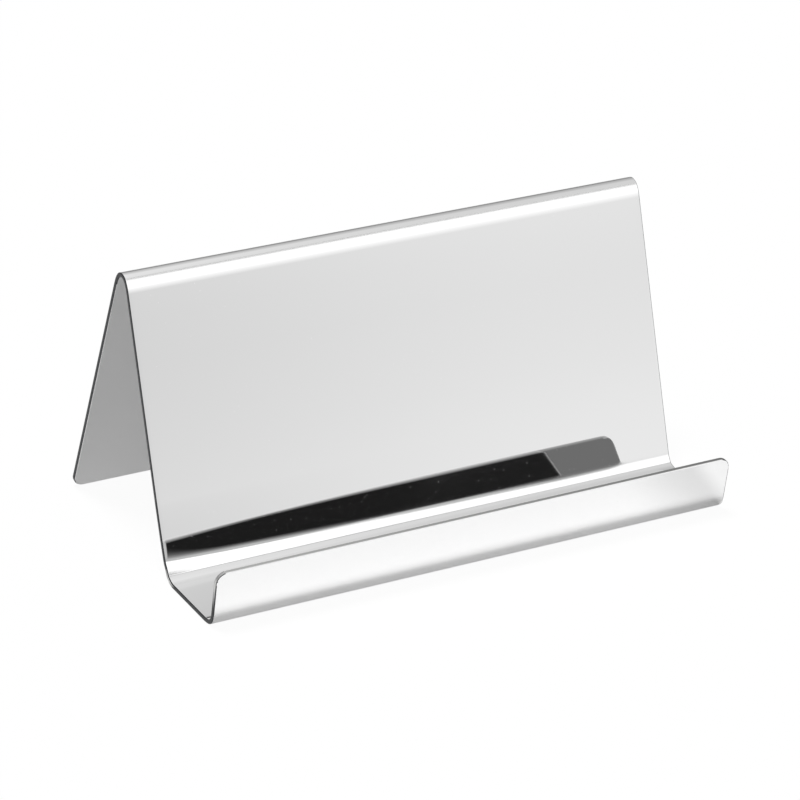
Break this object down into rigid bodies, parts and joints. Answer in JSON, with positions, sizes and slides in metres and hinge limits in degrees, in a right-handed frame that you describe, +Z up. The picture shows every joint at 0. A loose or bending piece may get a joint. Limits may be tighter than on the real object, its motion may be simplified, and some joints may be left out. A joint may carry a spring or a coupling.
{
  "type": "business card holder",
  "caption": "Desk stand for business cards, folded from polished sheet steel: a leaning panel over a back leg, with a narrow card shelf and a low front lip.",
  "frame": {"origin": "on the table, under the middle of the stand", "axes": "+X along the folds, to the right of someone facing the cards; +Y to the back; +Z up"},
  "size_m": [0.1, 0.0564, 0.049],
  "materials": {
    "polished_steel": "mirror polished"
  },
  "bodies": {
    "root": {"folded_sheet": "polished_steel"}
  },
  "joints": []
}
